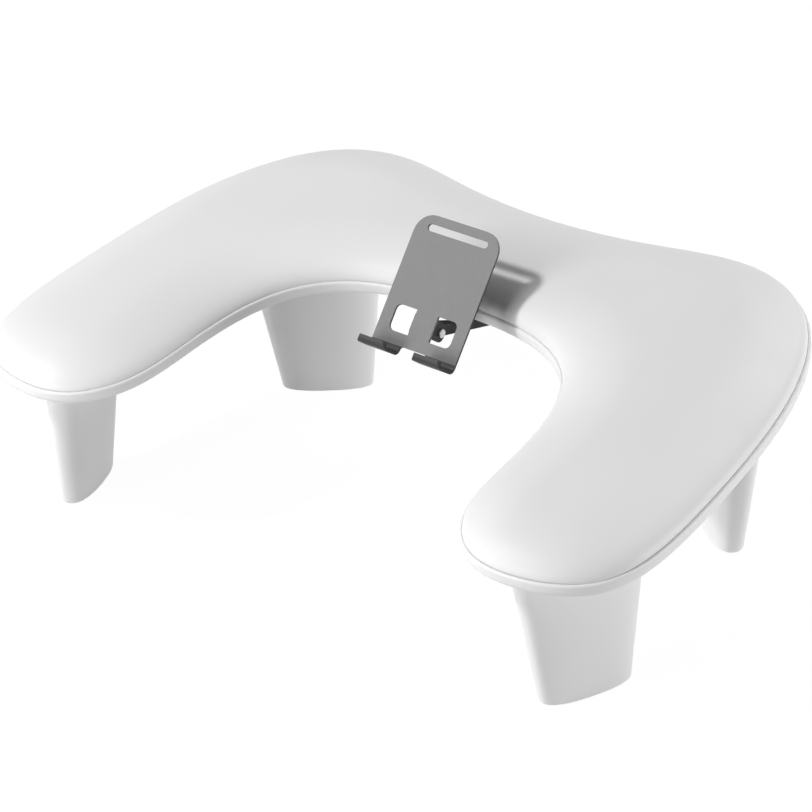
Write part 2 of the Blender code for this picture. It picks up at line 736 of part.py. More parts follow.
def pivot_hardware(axis, steel, nylon):
    ear_face = EAR_OUTER_X + SEAT
    nut_far = ear_face + NUT_HEIGHT
    head_far = ear_face + PIVOT_HEAD_HEIGHT
    sections = (
        (PIVOT_RADIUS * 0.8, -nut_far - PIVOT_END),
        (PIVOT_RADIUS, -nut_far),
        (PIVOT_RADIUS, ear_face),
        (PIVOT_HEAD_RADIUS, ear_face),
        (PIVOT_HEAD_RADIUS, head_far - PIVOT_HEAD_HEIGHT / 3),
        (PIVOT_HEAD_RADIUS * 0.8, head_far),
    )
    screw = solid("pivot_screw", [turned_about_x(sections, SCREW_SIDES)], steel)
    screw.parent = axis

    corner_radius = NUT_ACROSS_FLATS / math.sqrt(3)
    nut = solid("pivot_nut", [turned_about_x(((corner_radius, -nut_far), (corner_radius, -ear_face)), 6)],
                steel)
    hole = PIVOT_RADIUS + SEAT
    bore = turned_about_x(((hole, -nut_far - OVERCUT), (hole, -ear_face + OVERCUT)), SCREW_SIDES)
    nut_bore = solid("pivot_nut_bore", [bore], steel)
    combine(nut, nut_bore, "DIFFERENCE")
    nut.parent = axis
    nut_bore.parent = axis

    inner = washer_inner_x()
    outer = inner + WASHER_THICKNESS
    for hand, side in (("left", -1), ("right", 1)):
        ends = ((WASHER_RADIUS, side * inner), (WASHER_RADIUS, side * outer))
        washer = solid(f"friction_washer_{hand}",
                       [turned_about_x(ends, SCREW_SIDES, PIVOT_Y, PIVOT_Z)], nylon)
        ends = ((hole, side * (inner - OVERCUT)), (hole, side * (outer + OVERCUT)))
        combine(washer, solid(f"washer_bore_{hand}",
                              [turned_about_x(ends, SCREW_SIDES, PIVOT_Y, PIVOT_Z)], nylon), "DIFFERENCE")


def tilt_axis():
    """The empty on the hinge's axis that carries the moving holder."""
    axis = bpy.data.objects.new("holder_tilt_axis", None)
    axis.location = (0.0, PIVOT_Y, PIVOT_Z)
    axis.rotation_euler = (-PLATE_LEAN, 0.0, 0.0)
    bpy.context.collection.objects.link(axis)
    return axis


def main():
    clear_scene()
    white_plastic = material("white_plastic", (0.84, 0.84, 0.84), 0.35)
    white_leather = material("white_leather", (0.82, 0.82, 0.82), 0.45)
    foam = material("foam", (0.86, 0.82, 0.68), 0.95)
    board = material("board", (0.55, 0.42, 0.28), 0.80)
    black_rubber = material("black_rubber", (0.03, 0.03, 0.03), 0.80)
    zinc = material("zinc_steel", (0.62, 0.62, 0.62), 0.35, 1.0)
    grey_metal = material("grey_metal", (0.29, 0.29, 0.29), 0.45, 0.6)
    black_metal = material("black_metal", (0.02, 0.02, 0.02), 0.50, 0.3)
    nylon = material("nylon", (0.80, 0.80, 0.76), 0.50)

    curve = seam_outline()
    centres = padding_centres(curve)
    base_shell(curve, white_plastic)
    for name, foot, _, side in each_leg():
        foot_pad(f"foot_pad_{name}", foot, side, black_rubber)
    cushion_board(curve, centres, board)
    cushion_foam(curve, centres, foam)
    cushion_cover(curve, centres, white_leather)
    board_screws(zinc)
    holder_bracket(black_metal)
    bracket_screws(zinc)
    axis = tilt_axis()
    holder_plate(axis, grey_metal)
    pivot_hardware(axis, zinc, nylon)


main()
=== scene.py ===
"""Looks for the padded armrest: smooth moulded base, padded cushion, phone holder, light and camera."""

import json
import math

import bmesh
import bpy
import numpy as np
from mathutils import Matrix, Vector, geometry

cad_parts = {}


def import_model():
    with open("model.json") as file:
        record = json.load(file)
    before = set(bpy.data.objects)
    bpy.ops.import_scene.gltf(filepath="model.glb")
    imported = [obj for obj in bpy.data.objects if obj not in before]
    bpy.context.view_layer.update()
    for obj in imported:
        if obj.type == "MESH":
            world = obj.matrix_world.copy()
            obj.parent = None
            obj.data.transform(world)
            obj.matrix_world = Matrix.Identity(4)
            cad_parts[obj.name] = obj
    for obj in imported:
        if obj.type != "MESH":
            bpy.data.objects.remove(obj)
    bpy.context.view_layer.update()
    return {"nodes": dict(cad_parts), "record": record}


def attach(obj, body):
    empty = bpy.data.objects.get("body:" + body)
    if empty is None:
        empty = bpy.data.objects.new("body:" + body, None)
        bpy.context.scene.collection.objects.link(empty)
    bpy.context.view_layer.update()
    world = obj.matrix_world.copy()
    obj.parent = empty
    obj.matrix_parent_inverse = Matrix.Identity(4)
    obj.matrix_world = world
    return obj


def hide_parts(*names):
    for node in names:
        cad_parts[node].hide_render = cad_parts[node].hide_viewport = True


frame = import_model()
nodes = frame["nodes"]

# Plan outline of the cushion's seam, right half, and the centre line of its padding, as spline points.
OUTLINE_HALF = (
    (0.0000, 0.1278), (0.0660, 0.1343), (0.1290, 0.1524), (0.1860, 0.1275), (0.2190, 0.0560),
    (0.2292, -0.0365), (0.2314, -0.1070), (0.2120, -0.1365), (0.1700, -0.1470), (0.1380, -0.1405),
    (0.1157, -0.1095), (0.1164, -0.0585), (0.1083, -0.0005), (0.0690, 0.0350), (0.0000, 0.0410),
)
CENTRE_LINE_HALF = (
    (0.0000, 0.0830), (0.0550, 0.0850), (0.1080, 0.0870), (0.1500, 0.0620),
    (0.1700, 0.0100), (0.1730, -0.0450), (0.1730, -0.0950),
)
SAMPLES_PER_SPAN = 12
CENTRE_SAMPLES_PER_SPAN = 24
CENTRE_SMOOTHING = 18
SLOPE = math.radians(9.0)
SEAM_HEIGHT = 0.1166

# Moulded base. A leg's section is its centre, half length, half width and turn.
RIM_HEIGHT = 0.0080
RIM_PROUD = 0.0013
RIM_EDGE_RADIUS = 0.0014
RIM_FOOT_RADIUS = 0.0030
POCKET_INSET = 0.0005
POCKET_DEPTH = 0.0055
FRONT_FOOT = ((0.1831, -0.0891), 0.0282, 0.0100, math.radians(69.3))
FRONT_TOP = ((0.1780, -0.0902), 0.0420, 0.0152, math.radians(69.3))
REAR_FOOT = ((0.1481, 0.0932), 0.0284, 0.0104, math.radians(138.7))
REAR_TOP = ((0.1537, 0.0875), 0.0456, 0.0198, math.radians(138.7))
OBLONG_POWER = 2.4
LEG_SIDES = 96
FOOT_HEIGHT = 0.0006
FOOT_ROUNDING = 0.0012
LEG_FLARE = 0.0030
LEG_FLARE_HEIGHT = 0.0060
LEG_OVERLAP = 0.0010
ROUND_STEPS = 8
RIM_EDGE_STEPS = 4
PAD_INSET = 0.0042
PAD_RECESS = 0.0012

# Cushion. The fades are where the crown gets fuller at the back and flatter on the arms' bay side.
CUSHION_RISE = 0.0160
CUSHION_SHOULDER = 0.0410
CROWN_POWER = 2.0
CROWN_POWER_SPREAD = 0.32
BACK_FADE_Y = (-0.020, 0.060)
BAY_FADE_X = (-0.165, -0.135)
BAY_FADE_Y = (-0.020, 0.030)
CROWN_STEPS = 18
SHOULDER_SHARE = 0.78
COVER_THICKNESS = 0.0012
COVER_GAP = 0.0004
SEAT = 0.0003
CUSHION_BULGE = 0.0005
SIDE_BREAK = 0.0018
HEM_ROUNDING = 0.8
HEM_STEPS = 3
MIDDLE_GRID = 0.0060
MIDDLE_CLEARANCE = 0.55

# Triangles over the cushion's middle. The first value stands for the height of an edge that is level.
LEVEL_EDGE = 1e-12
MERGE_DISTANCE = 1e-7
TRIANGLES_INSIDE = 1

# Cloth simulation. The seam is held up to a height over the deck, and the hold fades above it.
HOLD_HEIGHT = 0.004
HOLD_FADE = 0.006
SWELL_CAP = 0.0020
SWELL_FRAMES = 20
SWELL_PRESSURE = 40.0
SWELL_STIFFNESS = 15.0
SWELL_BENDING = 2.0
SWELL_QUALITY = 5
SWELL_SMOOTHING = 12
SMALLEST_PUSH = 1e-9

# Phone holder. The plate's dark finishes and painted shade start at these distances from the pivot:
# down the plate, out of its back and out of its front.
PIVOT = (0.0, 0.0109, 0.1179)
PLATE_TILT = math.radians(36.5)
PLATE_DOWN = (0.0, -math.sin(PLATE_TILT), -math.cos(PLATE_TILT))
PLATE_BACK = (0.0, math.cos(PLATE_TILT), -math.sin(PLATE_TILT))
PLATE_FRONT = (0.0, -math.cos(PLATE_TILT), math.sin(PLATE_TILT))
HOOK_COAT_AND_SHADE_LEVEL = 0.0152
BACK_FINISH_AND_SHADE_LEVEL = -0.0072
LIP_LEVEL = 0.0185
EDGE_BLEND = 0.0002
SOFT_EDGES = {"holder_plate": 0.00022, "holder_bracket": 0.00020}
SOFT_EDGE_SEGMENTS = 2
SOFT_EDGE_ANGLE = math.radians(40.0)
FLAT_ANGLE = math.radians(1.0)
WELD_DISTANCE = 0.00001

# Finishes. Noise between these levels gives the whole range of a colour or roughness.
NOISE_LOW = 0.3
NOISE_HIGH = 0.7

# Colour sockets of the Mix node, by number, because its other sockets have the same names.
MIX_UNDER = 6
MIX_OVER = 7
MIX_RESULT = 2

# Edges sharper than these angles aren't shaded smooth.
SMOOTH_ANGLE = math.radians(35.0)
PAD_SMOOTH_ANGLE = math.radians(60.0)

# Camera, from the photograph's viewing angle.
CAMERA_AZIMUTH = math.radians(39.174)
CAMERA_ELEVATION = math.radians(28.371)
CAMERA_ROLL = math.radians(-0.964)
CAMERA_DISTANCE = 1.848291
CAMERA_TARGET = (-0.019711, 0.012659, 0.061)
CAMERA_LENS = 140.919
CAMERA_SENSOR = 36.0

# Studio. A lamp is its name, direction, distance, size and power.
FLOOR_HALF_SIZE = 12.0
FLOOR_LEVEL = -0.0002
FLOOR_GREY = 0.62
FLOOR_GLOW = 1.07
FLOOR_GLOW_SHARE = 0.90
CORNER_SIGNS = ((-1, -1), (1, -1), (1, 1), (-1, 1))
WORLD_LIGHT = 0.08
WORLD_WHITE = 1.0
LAMP_CENTRE = (0.0, 0.02, 0.12)
LAMPS = (
    ("key", (-0.45, -0.52, 0.73), 2.8, 0.33, 41.5),
    ("right_fill", (0.90, 0.42, 0.06), 3.5, 2.0, 105.0),
    ("front_fill", (-0.30, -0.94, 0.15), 1.8, 1.0, 18.0),
    ("left_fill", (-0.88, -0.40, 0.22), 1.8, 1.0, 3.2),
    ("back_light", (0.10, 0.75, 0.65), 1.8, 1.0, 10.0),
)


def cubic(points, fractions):
    """One span of a uniform cubic B-spline."""
    t = np.asarray(fractions)[:, None]
    a, b, c, d = points
    return (
        (1 - t) ** 3 * a
        + (3 * t**3 - 6 * t**2 + 4) * b
        + (-3 * t**3 + 3 * t**2 + 3 * t + 1) * c
        + t**3 * d
    ) / 6


def closed_curve(controls, steps):
    """A closed spline, steps points for each control point."""
    count = len(controls)
    fractions = np.arange(steps) / steps
    spans = [[controls[(i + k) % count] for k in range(4)] for i in range(count)]
    return np.vstack([cubic(span, fractions) for span in spans])


def open_curve(controls, steps):
    """An open spline that starts and ends at its outer control points."""
    full = np.vstack([2 * controls[0] - controls[1], controls, 2 * controls[-1] - controls[-2]])
    fractions = np.linspace(0.0, 1.0, steps + 1)
    return np.vstack([cubic(full[i:i + 4], fractions) for i in range(len(full) - 3)])


def seam_outline():
    """The seam in plan, both halves."""
    right = np.array(OUTLINE_HALF)
    left = right[-2:0:-1] * (-1, 1)
    return closed_curve(np.vstack([right, left]), SAMPLES_PER_SPAN)[::-1]


def offset(curve, distance):
    """A closed plan curve moved outwards."""
    along = np.roll(curve, -1, axis=0) - np.roll(curve, 1, axis=0)
    outward = np.column_stack([along[:, 1], -along[:, 0]])
    outward /= np.linalg.norm(outward, axis=1)[:, None]
    return curve + outward * distance


def padding_centres(curve):
    """For each point of the seam, the place on the padding's centre line that it rises towards."""
    right = open_curve(np.array(CENTRE_LINE_HALF), CENTRE_SAMPLES_PER_SPAN)
    line = np.vstack([right[::-1] * (-1, 1), right])
    gaps = np.linalg.norm(curve[:, None] - line[None], axis=2)
    centres = line[gaps.argmin(axis=1)]
    for _ in range(CENTRE_SMOOTHING):
        centres = (np.roll(centres, 1, axis=0) + 2 * centres + np.roll(centres, -1, axis=0)) / 4
    return centres


def distance_to(curve, points):
    """Distance in plan from each point to a closed curve."""
    step = np.roll(curve, -1, axis=0) - curve
    reach = points[:, None] - curve[None]
    share = np.clip((reach * step).sum(axis=2) / (step**2).sum(axis=1), 0.0, 1.0)
    return np.linalg.norm(reach - share[..., None] * step, axis=2).min(axis=1)


def inside(curve, points):
    """True where a point lies inside a closed plan curve."""
    start, stop = curve, np.roll(curve, -1, axis=0)
    crosses = (start[None, :, 1] > points[:, None, 1]) != (stop[None, :, 1] > points[:, None, 1])
    climb = np.where(stop[:, 1] == start[:, 1], LEVEL_EDGE, stop[:, 1] - start[:, 1])
    slant = ((stop - start)[:, 0] / climb)[None]
    meets = start[None, :, 0] + (points[:, None, 1] - start[None, :, 1]) * slant
    return (crosses & (meets > points[:, None, 0])).sum(axis=1) % 2 == 1


def on_deck(plan, height):
    """Points over the sloping seam plane, at heights square to it."""
    height = np.broadcast_to(height, len(plan))
    rise = SEAM_HEIGHT + math.tan(SLOPE) * plan[:, 1]
    return np.column_stack([
        plan[:, 0],
        plan[:, 1] - math.sin(SLOPE) * height,
        rise + math.cos(SLOPE) * height,
    ])


def ease(values, start, stop):
    """0 before start, 1 after stop, and smooth between them."""
    share = np.clip((values - start) / (stop - start), 0.0, 1.0)
    return share * share * (3.0 - 2.0 * share)


def dome(depth, plan):
    """Height of the crown: fuller at the back of the bridge, flatter on the bay side of the arms."""
    back = ease(plan[:, 1], *BACK_FADE_Y)
    bay = ease(-np.abs(plan[:, 0]), *BAY_FADE_X) * ease(-plan[:, 1], *BAY_FADE_Y)
    power = CROWN_POWER + CROWN_POWER_SPREAD * (back - bay)
    share = np.clip(depth / CUSHION_SHOULDER, 0.0, 1.0)
    return CUSHION_RISE * (1.0 - (1.0 - share) ** power) ** (1.0 / power)


def add_loop(build, ring):
    return [build.verts.new(tuple(map(float, point))) for point in ring]


def bridge(build, loops):
    """Faces between each loop of vertices and the next."""
    for low, high in zip(loops, loops[1:]):
        for i in range(len(low)):
            j = (i + 1) % len(low)
            build.faces.new((low[i], low[j], high[j], high[i]))


def shade(mesh, angle):
    mesh.shade_smooth()
    mesh.set_sharp_from_angle(angle=angle)


def to_object(name, build, angle=SMOOTH_ANGLE):
    bmesh.ops.recalc_face_normals(build, faces=build.faces)
    mesh = bpy.data.meshes.new(name)
    build.to_mesh(mesh)
    build.free()
    shade(mesh, angle)
    made = bpy.data.objects.new(name, mesh)
    bpy.context.collection.objects.link(made)
    return made


def solid(name, bodies):
    """An object of closed bodies, each a stack of rings with a cap at both ends."""
    build = bmesh.new()
    for rings in bodies:
        loops = [add_loop(build, ring) for ring in rings]
        bridge(build, loops)
        build.faces.new(list(reversed(loops[0])))
        build.faces.new(loops[-1])
    return to_object(name, build)


def apply_modifiers(piece):
    depsgraph = bpy.context.evaluated_depsgraph_get()
    mesh = bpy.data.meshes.new_from_object(piece.evaluated_get(depsgraph))
    piece.modifiers.clear()
    piece.data = mesh
    shade(mesh, SMOOTH_ANGLE)


def combine(target, other, operation):
    """Join or cut one object with another, which is used up."""
    step = target.modifiers.new(other.name, "BOOLEAN")
    step.operation = operation
    step.solver = "EXACT"
    step.object = other
    apply_modifiers(target)
    bpy.data.objects.remove(other)


def flattened(values):
    """Sine or cosine values of an ellipse turned into those of a fuller oblong."""
    return np.sign(values) * np.abs(values) ** (2.0 / OBLONG_POWER)


def oblong(shape, grow=0.0):
    """Plan points of a leg's section, made larger all round by a distance."""
    (x, y), half_length, half_width, turn = shape
    angles = np.linspace(0.0, 2 * math.pi, LEG_SIDES, endpoint=False)
    along = (half_length + grow) * flattened(np.cos(angles))
    across = (half_width + grow) * flattened(np.sin(angles))
    return np.column_stack([
        x + math.cos(turn) * along - math.sin(turn) * across,
        y + math.sin(turn) * along + math.cos(turn) * across,
    ])


def leg_ends(foot, top, grow):
    """A leg's foot and top in plan, and its length up to the deck at each point."""
    low, high = oblong(foot, grow), oblong(top, grow)
    deck = SEAM_HEIGHT + math.tan(SLOPE) * high[:, 1] - RIM_HEIGHT / math.cos(SLOPE)
    return low, high, deck - FOOT_HEIGHT


def leg_section(low, high, share, height, side):
    plan = low + (high - low) * share[:, None]
    return np.column_stack([side * plan[:, 0], plan[:, 1], height])


def level_section(foot, top, rise, grow, side):
    """Section of a leg at a height over the foot, level."""
    low, high, length = leg_ends(foot, top, grow)
    return leg_section(low, high, rise / length, np.full(len(low), FOOT_HEIGHT + rise), side)


def deck_section(foot, top, below, grow, side):
    """Section of a leg parallel to the deck, at a distance below its underside."""
    low, high, length = leg_ends(foot, top, grow)
    share = 1.0 - below / length
    return leg_section(low, high, share, FOOT_HEIGHT + length * share, side)


def quarter_turn(radius, steps):
    """Pairs that run round a quarter circle, from (radius, 0) to (0, radius)."""
    angles = np.linspace(0.0, math.pi / 2, steps + 1)
    return [(radius * (1 - math.sin(a)), radius * (1 - math.cos(a))) for a in angles]


def each_leg():
    for foot, top in ((FRONT_FOOT, FRONT_TOP), (REAR_FOOT, REAR_TOP)):
        for side in (-1, 1):
            yield foot, top, side


def leg_form(foot, top, side):
    """Rings of a leg, from its rounded foot to the flare that runs into the deck."""
    rings = [
        level_section(foot, top, rise, -inward, side)
        for inward, rise in quarter_turn(FOOT_ROUNDING, ROUND_STEPS)
    ]
    for down, out in quarter_turn(1.0, ROUND_STEPS):
        rings.append(deck_section(foot, top, LEG_FLARE_HEIGHT * down, LEG_FLARE * out, side))
    rings.append(deck_section(foot, top, -LEG_OVERLAP, LEG_FLARE, side))
    return rings


def pad_recess(foot, side):
    plan = oblong(foot, SEAT - PAD_INSET) * (side, 1)
    return [np.column_stack([plan, np.full(len(plan), z)]) for z in (0.0, FOOT_HEIGHT + PAD_RECESS)]


def moulded_base(curve):
    """The deck with its rounded rim and pocket, joined to the legs and recessed for the pads."""
    under = [
        (RIM_PROUD - inward, rise - RIM_HEIGHT)
        for inward, rise in quarter_turn(RIM_FOOT_RADIUS, ROUND_STEPS)
    ]
    over = [(RIM_PROUD - inward, -drop) for drop, inward in quarter_turn(RIM_EDGE_RADIUS, RIM_EDGE_STEPS)]
    land = [(-POCKET_INSET + SEAT, 0.0), (-POCKET_INSET, -SEAT), (-POCKET_INSET, -POCKET_DEPTH)]
    rings = [on_deck(offset(curve, out), height) for out, height in under + over + land]
    made = solid("moulded_base", [rings])
    combine(made, solid("legs", [leg_form(foot, top, side) for foot, top, side in each_leg()]), "UNION")
    combine(made, solid("recesses", [pad_recess(foot, side) for foot, _, side in each_leg()]), "DIFFERENCE")
    return made


def middle_fill(build, loop, plan, curve):
    """Triangles over the flat middle, on a grid of points inside the last ring."""
    low, high = plan.min(axis=0), plan.max(axis=0)
    xs = np.arange(low[0], high[0], MIDDLE_GRID)
    ys = np.arange(low[1], high[1], MIDDLE_GRID)
    grid = np.array([(x + (row % 2) * MIDDLE_GRID / 2, y) for row, y in enumerate(ys) for x in xs])
    grid = grid[distance_to(plan, grid) > MIDDLE_GRID * MIDDLE_CLEARANCE]
    grid = grid[inside(plan, grid)]
    points = [Vector(p) for p in plan] + [Vector(p) for p in grid]
    edges = [(i, (i + 1) % len(plan)) for i in range(len(plan))]
    flat, _, faces, original, _, _ = geometry.delaunay_2d_cdt(
        points, edges, [], TRIANGLES_INSIDE, MERGE_DISTANCE)
    flat = np.array([tuple(p) for p in flat])
    depth = distance_to(curve, flat) - POCKET_INSET - COVER_GAP + CUSHION_BULGE
    spots = on_deck(flat, dome(depth, flat))
    verts = []
    for spot, source in zip(spots, original):
        ring_index = [i for i in source if i < len(plan)]
        verts.append(loop[ring_index[0]] if ring_index else build.verts.new(tuple(map(float, spot))))
    for face in faces:
        build.faces.new([verts[i] for i in face])


def cushion_pad(curve, centres):
    """The padded cover: rounded hem, upright side in the pocket, bulge over the rim and crown."""
    way = centres - curve
    length = np.linalg.norm(way, axis=1)[:, None]
    way /= length
    edge = POCKET_INSET + COVER_GAP
    low = -POCKET_DEPTH + SEAT
    corner = COVER_THICKNESS * HEM_ROUNDING

    rings = [on_deck(curve + way * (edge + corner), low)]
    for inward, rise in quarter_turn(corner, HEM_STEPS)[1:]:
        rings.append(on_deck(curve + way * (edge + inward), low + rise))
    for drop in (SIDE_BREAK, CUSHION_BULGE):
        rings.append(on_deck(curve + way * edge, -drop))
    edge -= CUSHION_BULGE
    rings.append(on_deck(curve + way * edge, 0.0))
    reach = np.minimum(CUSHION_SHOULDER, SHOULDER_SHARE * length - edge)
    for _, inward in quarter_turn(1.0, CROWN_STEPS)[1:]:
        plan = curve + way * (edge + reach * inward)
        rings.append(on_deck(plan, dome(distance_to(curve, plan) - edge, plan)))
    build = bmesh.new()
    loops = [add_loop(build, ring) for ring in rings]
    bridge(build, loops)
    build.faces.new(list(reversed(loops[0])))
    middle_fill(build, loops[-1], plan, curve)
    return to_object("cushion_pad", build, PAD_SMOOTH_ANGLE)


def vertex_places(mesh):
    places = np.zeros(len(mesh.vertices) * 3)
    mesh.vertices.foreach_get("co", places)
    return places.reshape(-1, 3)


def spread_out(values, mesh, rounds):
    """Smooth a value per vertex over its neighbours."""
    ends = np.array([tuple(edge.vertices) for edge in mesh.edges])
    count = np.bincount(ends.ravel(), minlength=len(values))[:, None]
    for _ in range(rounds):
        total = np.zeros_like(values)
        np.add.at(total, ends[:, 0], values[ends[:, 1]])
        np.add.at(total, ends[:, 1], values[ends[:, 0]])
        values = (values + total / count) / 2
    return values


def add_cloth(piece, held):
    """A cloth that pressure fills, pinned where held is 1."""
    group = piece.vertex_groups.new(name="held")
    for index, weight in enumerate(held):
        group.add([index], float(weight), "REPLACE")
    cloth = piece.modifiers.new("padding", "CLOTH")
    settings = cloth.settings
    settings.quality = SWELL_QUALITY
    settings.tension_stiffness = settings.compression_stiffness = SWELL_STIFFNESS
    settings.shear_stiffness = SWELL_STIFFNESS / 2
    settings.bending_stiffness = SWELL_BENDING
    settings.use_pressure = True
    settings.uniform_pressure_force = SWELL_PRESSURE
    settings.effector_weights.gravity = 0.0
    settings.vertex_group_mass = group.name
    cloth.collision_settings.use_collision = False
    cloth.point_cache.frame_start, cloth.point_cache.frame_end = 1, SWELL_FRAMES
    return cloth


def swell(piece):
    """Inflate the pad under its cover, held along the seam."""
    rest = vertex_places(piece.data)
    over = (rest[:, 2] - SEAM_HEIGHT - math.tan(SLOPE) * rest[:, 1]) * math.cos(SLOPE)
    held = np.clip(1.0 - (over - HOLD_HEIGHT) / HOLD_FADE, 0.0, 1.0)
    cloth = add_cloth(piece, held)
    scene = bpy.context.scene
    scene.frame_start, scene.frame_end = 1, SWELL_FRAMES
    for step in range(1, SWELL_FRAMES + 1):
        scene.frame_set(step)
    push = vertex_places(piece.evaluated_get(bpy.context.evaluated_depsgraph_get()).data) - rest
    piece.modifiers.remove(cloth)
    piece.vertex_groups.clear()
    scene.frame_set(1)
    size = np.linalg.norm(push, axis=1)[:, None]
    push *= np.minimum(1.0, SWELL_CAP / np.maximum(size, SMALLEST_PUSH))
    push = spread_out(push, piece.data, SWELL_SMOOTHING) * (1.0 - held)[:, None]
    piece.data.vertices.foreach_set("co", (rest + push).ravel())
    piece.data.update()


class Surface:
    """A procedural material round one Principled shader."""

    def __init__(self, name, colour, roughness, metallic=0.0, specular=0.5):
        self.material = bpy.data.materials.new(name)
        self.material.use_nodes = True
        self.nodes = self.material.node_tree.nodes
        self.links = self.material.node_tree.links
        self.shader = self.nodes["Principled BSDF"]
        self.shader.inputs["Base Color"].default_value = (*colour, 1.0)
        self.shader.inputs["Roughness"].default_value = roughness
        self.shader.inputs["Metallic"].default_value = metallic
        self.shader.inputs["Specular IOR Level"].default_value = specular
        self.place = self.nodes.new("ShaderNodeTexCoord").outputs["Object"]

    def noise(self, scale, detail=3.0):
        made = self.nodes.new("ShaderNodeTexNoise")
        made.inputs["Scale"].default_value = scale
        made.inputs["Detail"].default_value = detail
        self.links.new(self.place, made.inputs["Vector"])
        return made.outputs["Fac"]

    def cells(self, scale):
        """Soft pebbles, as in a leather grain."""
        made = self.nodes.new("ShaderNodeTexVoronoi")
        made.feature = "SMOOTH_F1"
        made.inputs["Scale"].default_value = scale
        self.links.new(self.place, made.inputs["Vector"])
        return made.outputs["Distance"]

    def remap(self, value, low, high, from_low=NOISE_LOW, from_high=NOISE_HIGH):
        made = self.nodes.new("ShaderNodeMapRange")
        made.inputs["From Min"].default_value = from_low
        made.inputs["From Max"].default_value = from_high
        made.inputs["To Min"].default_value = low
        made.inputs["To Max"].default_value = high
        self.links.new(value, made.inputs["Value"])
        return made.outputs["Result"]

    def vary_colour(self, value, dark, light):
        ramp = self.nodes.new("ShaderNodeValToRGB")
        stops = zip(ramp.color_ramp.elements, (NOISE_LOW, NOISE_HIGH), (dark, light))
        for stop, position, colour in stops:
            stop.position = position
            stop.color = (*colour, 1.0)
        self.links.new(value, ramp.inputs["Fac"])
        self.links.new(ramp.outputs["Color"], self.shader.inputs["Base Color"])

    def beyond(self, way, level):
        """1 where a place lies further than a level from the pivot, along a direction."""
        reach = self.nodes.new("ShaderNodeVectorMath")
        reach.operation = "DOT_PRODUCT"
        reach.inputs[1].default_value = way
        self.links.new(self.place, reach.inputs[0])
        start = sum(a * b for a, b in zip(way, PIVOT)) + level
        return self.remap(reach.outputs["Value"], 0.0, 1.0, start - EDGE_BLEND, start + EDGE_BLEND)

    def tint(self, share, colour):
        """Lay a colour over the base colour by a share."""
        base = self.shader.inputs["Base Color"].links[0].from_socket
        mix = self.nodes.new("ShaderNodeMix")
        mix.data_type = "RGBA"
        self.links.new(share, mix.inputs["Factor"])
        self.links.new(base, mix.inputs[MIX_UNDER])
        mix.inputs[MIX_OVER].default_value = (*colour, 1.0)
        self.links.new(mix.outputs[MIX_RESULT], self.shader.inputs["Base Color"])

    def vary_roughness(self, value, low, high):
        self.links.new(self.remap(value, low, high), self.shader.inputs["Roughness"])

    def bump(self, layers):
        """Layers are (height, strength, depth in metres), laid over one another."""
        normal = None
        for height, strength, depth in layers:
            made = self.nodes.new("ShaderNodeBump")
            made.inputs["Strength"].default_value = strength
            made.inputs["Distance"].default_value = depth
            self.links.new(height, made.inputs["Height"])
            if normal is not None:
                self.links.new(normal, made.inputs["Normal"])
            normal = made.outputs["Normal"]
        self.links.new(normal, self.shader.inputs["Normal"])


def grey(value):
    return (value, value, value)


def white_leather():
    leather = Surface("white_leather", grey(0.80), 0.50, 0.0, 0.42)
    leather.vary_colour(leather.noise(9.0, 2.0), grey(0.790), grey(0.815))
    leather.vary_roughness(leather.noise(60.0, 4.0), 0.46, 0.56)
    leather.bump([(leather.cells(1100.0), 0.10, 0.00012), (leather.noise(2600.0, 2.0), 0.06, 0.00006)])
    leather.shader.inputs["Coat Weight"].default_value = 0.06
    leather.shader.inputs["Coat Roughness"].default_value = 0.36
    return leather


def white_plastic():
    plastic = Surface("white_plastic", grey(0.82), 0.44, 0.0, 0.45)
    plastic.vary_colour(plastic.noise(7.0, 2.0), grey(0.805), grey(0.830))
    plastic.vary_roughness(plastic.noise(45.0, 4.0), 0.40, 0.50)
    plastic.bump([(plastic.noise(140.0, 2.0), 0.05, 0.0002), (plastic.noise(2400.0, 3.0), 0.05, 0.00005)])
    return plastic


def grey_metal():
    """The plate's sheet, with a dark finish on its back, its cut edges, its ears and its lips. On the ears,
    the cut edges and the inside of each hook the dark is painted shade.
    """
    sheet = Surface("grey_metal", grey(0.20), 0.50, 0.0, 0.35)
    sheet.vary_colour(sheet.noise(420.0, 4.0), grey(0.195), grey(0.205))
    hook_coat_and_painted_shade = sheet.beyond(PLATE_DOWN, HOOK_COAT_AND_SHADE_LEVEL)
    back = sheet.beyond(PLATE_BACK, BACK_FINISH_AND_SHADE_LEVEL)
    lip_fronts = sheet.beyond(PLATE_FRONT, LIP_LEVEL)
    # Painted shade: the back's dark finish also darkens the ears and the cut edges, which stand in shade.
    sheet.tint(back, grey(0.024))
    # Painted shade: the hook coat is laid on darker than on the lips' fronts, so the inside of each hook is
    # painted as in shade.
    sheet.tint(hook_coat_and_painted_shade, grey(0.022))
    sheet.tint(lip_fronts, grey(0.032))
    sheet.vary_roughness(sheet.noise(240.0, 5.0), 0.46, 0.56)
    sheet.bump([(sheet.noise(3200.0, 3.0), 0.08, 0.00003)])
    return sheet


def black_metal():
    black = Surface("black_metal", grey(0.014), 0.48, 0.0, 0.22)
    black.vary_colour(black.noise(90.0, 3.0), grey(0.011), grey(0.018))
    black.vary_roughness(black.noise(260.0, 4.0), 0.38, 0.55)
    black.bump([(black.noise(2600.0, 3.0), 0.15, 0.00006)])
    return black


def black_rubber():
    rubber = Surface("black_rubber", grey(0.030), 0.80)
    rubber.vary_colour(rubber.noise(120.0, 3.0), grey(0.024), grey(0.038))
    rubber.vary_roughness(rubber.noise(300.0, 3.0), 0.70, 0.88)
    rubber.bump([(rubber.noise(1800.0, 4.0), 0.30, 0.00010)])
    return rubber


